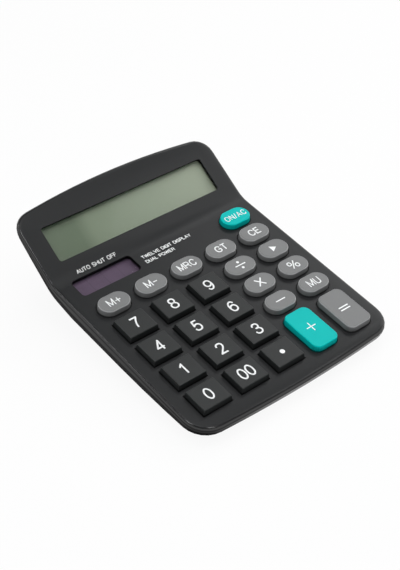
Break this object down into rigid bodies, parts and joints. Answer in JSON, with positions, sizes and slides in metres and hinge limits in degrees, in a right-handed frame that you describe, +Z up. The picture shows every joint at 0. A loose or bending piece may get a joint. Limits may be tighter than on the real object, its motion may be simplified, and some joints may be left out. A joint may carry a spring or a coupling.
{
  "type": "desk calculator",
  "caption": "Desk calculator with a bent thin casing, tilted display, solar window, sprung square, oval and tall keys, and a rear stand holding a battery behind a sliding door",
  "frame": {"origin": "middle of the bounding box at the height of the table, under the feet", "axes": "x to the user's right, y from the user to the back, z up"},
  "size_m": [0.118, 0.1456, 0.0469],
  "materials": {
    "case_plastic": "satin",
    "black_plastic": "matte",
    "clear_pane": "clear, polished",
    "display_glass": "grey-green, smooth",
    "reflector": "satin",
    "ribbon": "smooth",
    "solar_cell": "dark purple-grey, smooth",
    "board": "lacquered",
    "sheet_rubber": "matte",
    "chip_cover": "glossy",
    "capacitor": "sleeved",
    "screw_steel": "satin",
    "battery_wrap": "glossy",
    "contact_metal": "bright",
    "foot_rubber": "matte",
    "wire_red": "smooth",
    "wire_black": "smooth",
    "key_dark": "satin",
    "key_grey": "satin",
    "key_teal": "satin"
  },
  "bodies": {
    "casing": {"upper_case": "case_plastic", "lower_case": "case_plastic", "display_window": "clear_pane", "lcd_glass": "display_glass", "lcd_reflector": "reflector", "lcd_holder": "black_plastic", "display_ribbon": "ribbon", "solar_window": "clear_pane", "solar_cell": "solar_cell", "circuit_board": "board", "rubber_sheet": "sheet_rubber", "controller_chip": "chip_cover", "capacitor": "capacitor", "pcb_screws": "screw_steel", "case_screws": "screw_steel", "battery_cell": "battery_wrap", "battery_spring": "contact_metal", "battery_plate": "contact_metal", "rubber_feet": "foot_rubber", "battery_lead_red": "wire_red", "battery_lead_black": "wire_black", "solar_leads": "wire_red"},
    "door": {"battery_door": "case_plastic"},
    "key_0_cap": {"key_0": "key_dark"},
    "key_00_cap": {"key_00": "key_dark"},
    "key_point_cap": {"key_point": "key_dark"},
    "key_1_cap": {"key_1": "key_dark"},
    "key_2_cap": {"key_2": "key_dark"},
    "key_3_cap": {"key_3": "key_dark"},
    "key_4_cap": {"key_4": "key_dark"},
    "key_5_cap": {"key_5": "key_dark"},
    "key_6_cap": {"key_6": "key_dark"},
    "key_7_cap": {"key_7": "key_dark"},
    "key_8_cap": {"key_8": "key_dark"},
    "key_9_cap": {"key_9": "key_dark"},
    "key_minus_cap": {"key_minus": "key_grey"},
    "key_multiply_cap": {"key_multiply": "key_grey"},
    "key_divide_cap": {"key_divide": "key_grey"},
    "key_mark_up_cap": {"key_mark_up": "key_grey"},
    "key_percent_cap": {"key_percent": "key_grey"},
    "key_backspace_cap": {"key_backspace": "key_grey"},
    "key_memory_add_cap": {"key_memory_add": "key_grey"},
    "key_memory_subtract_cap": {"key_memory_subtract": "key_grey"},
    "key_memory_recall_cap": {"key_memory_recall": "key_grey"},
    "key_grand_total_cap": {"key_grand_total": "key_grey"},
    "key_clear_entry_cap": {"key_clear_entry": "key_grey"},
    "key_equals_cap": {"key_equals": "key_grey"},
    "key_on_clear_cap": {"key_on_clear": "key_teal"},
    "key_plus_cap": {"key_plus": "key_teal"}
  },
  "joints": [
    {"name": "door_slide", "type": "slide", "parent": "casing", "child": "door", "axis": [0, -1, 0], "range_m": [0, 0.031]},
    {"name": "key_0_press", "type": "slide", "parent": "casing", "child": "key_0_cap", "axis": [0, -0.134, 0.991], "range_m": [-0.0013, 0], "stiffness_N_per_m": 350, "springref_m": 0.0006},
    {"name": "key_00_press", "type": "slide", "parent": "casing", "child": "key_00_cap", "axis": [0, -0.134, 0.991], "range_m": [-0.0013, 0], "stiffness_N_per_m": 350, "springref_m": 0.0006},
    {"name": "key_point_press", "type": "slide", "parent": "casing", "child": "key_point_cap", "axis": [0, -0.134, 0.991], "range_m": [-0.0013, 0], "stiffness_N_per_m": 350, "springref_m": 0.0006},
    {"name": "key_1_press", "type": "slide", "parent": "casing", "child": "key_1_cap", "axis": [0, -0.134, 0.991], "range_m": [-0.0013, 0], "stiffness_N_per_m": 350, "springref_m": 0.0006},
    {"name": "key_2_press", "type": "slide", "parent": "casing", "child": "key_2_cap", "axis": [0, -0.134, 0.991], "range_m": [-0.0013, 0], "stiffness_N_per_m": 350, "springref_m": 0.0006},
    {"name": "key_3_press", "type": "slide", "parent": "casing", "child": "key_3_cap", "axis": [0, -0.134, 0.991], "range_m": [-0.0013, 0], "stiffness_N_per_m": 350, "springref_m": 0.0006},
    {"name": "key_4_press", "type": "slide", "parent": "casing", "child": "key_4_cap", "axis": [0, -0.134, 0.991], "range_m": [-0.0013, 0], "stiffness_N_per_m": 350, "springref_m": 0.0006},
    {"name": "key_5_press", "type": "slide", "parent": "casing", "child": "key_5_cap", "axis": [0, -0.134, 0.991], "range_m": [-0.0013, 0], "stiffness_N_per_m": 350, "springref_m": 0.0006},
    {"name": "key_6_press", "type": "slide", "parent": "casing", "child": "key_6_cap", "axis": [0, -0.134, 0.991], "range_m": [-0.0013, 0], "stiffness_N_per_m": 350, "springref_m": 0.0006},
    {"name": "key_7_press", "type": "slide", "parent": "casing", "child": "key_7_cap", "axis": [0, -0.134, 0.991], "range_m": [-0.0013, 0], "stiffness_N_per_m": 350, "springref_m": 0.0006},
    {"name": "key_8_press", "type": "slide", "parent": "casing", "child": "key_8_cap", "axis": [0, -0.134, 0.991], "range_m": [-0.0013, 0], "stiffness_N_per_m": 350, "springref_m": 0.0006},
    {"name": "key_9_press", "type": "slide", "parent": "casing", "child": "key_9_cap", "axis": [0, -0.134, 0.991], "range_m": [-0.0013, 0], "stiffness_N_per_m": 350, "springref_m": 0.0006},
    {"name": "key_minus_press", "type": "slide", "parent": "casing", "child": "key_minus_cap", "axis": [0, -0.134, 0.991], "range_m": [-0.0013, 0], "stiffness_N_per_m": 350, "springref_m": 0.0006},
    {"name": "key_multiply_press", "type": "slide", "parent": "casing", "child": "key_multiply_cap", "axis": [0, -0.134, 0.991], "range_m": [-0.0013, 0], "stiffness_N_per_m": 350, "springref_m": 0.0006},
    {"name": "key_divide_press", "type": "slide", "parent": "casing", "child": "key_divide_cap", "axis": [0, -0.134, 0.991], "range_m": [-0.0013, 0], "stiffness_N_per_m": 350, "springref_m": 0.0006},
    {"name": "key_mark_up_press", "type": "slide", "parent": "casing", "child": "key_mark_up_cap", "axis": [0, -0.134, 0.991], "range_m": [-0.0013, 0], "stiffness_N_per_m": 350, "springref_m": 0.0006},
    {"name": "key_percent_press", "type": "slide", "parent": "casing", "child": "key_percent_cap", "axis": [0, -0.134, 0.991], "range_m": [-0.0013, 0], "stiffness_N_per_m": 350, "springref_m": 0.0006},
    {"name": "key_backspace_press", "type": "slide", "parent": "casing", "child": "key_backspace_cap", "axis": [0, -0.134, 0.991], "range_m": [-0.0013, 0], "stiffness_N_per_m": 350, "springref_m": 0.0006},
    {"name": "key_memory_add_press", "type": "slide", "parent": "casing", "child": "key_memory_add_cap", "axis": [0, -0.134, 0.991], "range_m": [-0.0013, 0], "stiffness_N_per_m": 350, "springref_m": 0.0006},
    {"name": "key_memory_subtract_press", "type": "slide", "parent": "casing", "child": "key_memory_subtract_cap", "axis": [0, -0.134, 0.991], "range_m": [-0.0013, 0], "stiffness_N_per_m": 350, "springref_m": 0.0006},
    {"name": "key_memory_recall_press", "type": "slide", "parent": "casing", "child": "key_memory_recall_cap", "axis": [0, -0.134, 0.991], "range_m": [-0.0013, 0], "stiffness_N_per_m": 350, "springref_m": 0.0006},
    {"name": "key_grand_total_press", "type": "slide", "parent": "casing", "child": "key_grand_total_cap", "axis": [0, -0.134, 0.991], "range_m": [-0.0013, 0], "stiffness_N_per_m": 350, "springref_m": 0.0006},
    {"name": "key_clear_entry_press", "type": "slide", "parent": "casing", "child": "key_clear_entry_cap", "axis": [0, -0.134, 0.991], "range_m": [-0.0013, 0], "stiffness_N_per_m": 350, "springref_m": 0.0006},
    {"name": "key_equals_press", "type": "slide", "parent": "casing", "child": "key_equals_cap", "axis": [0, -0.134, 0.991], "range_m": [-0.0013, 0], "stiffness_N_per_m": 450, "springref_m": 0.0006},
    {"name": "key_on_clear_press", "type": "slide", "parent": "casing", "child": "key_on_clear_cap", "axis": [0, -0.134, 0.991], "range_m": [-0.0013, 0], "stiffness_N_per_m": 350, "springref_m": 0.0006},
    {"name": "key_plus_press", "type": "slide", "parent": "casing", "child": "key_plus_cap", "axis": [0, -0.134, 0.991], "range_m": [-0.0013, 0], "stiffness_N_per_m": 450, "springref_m": 0.0006}
  ]
}
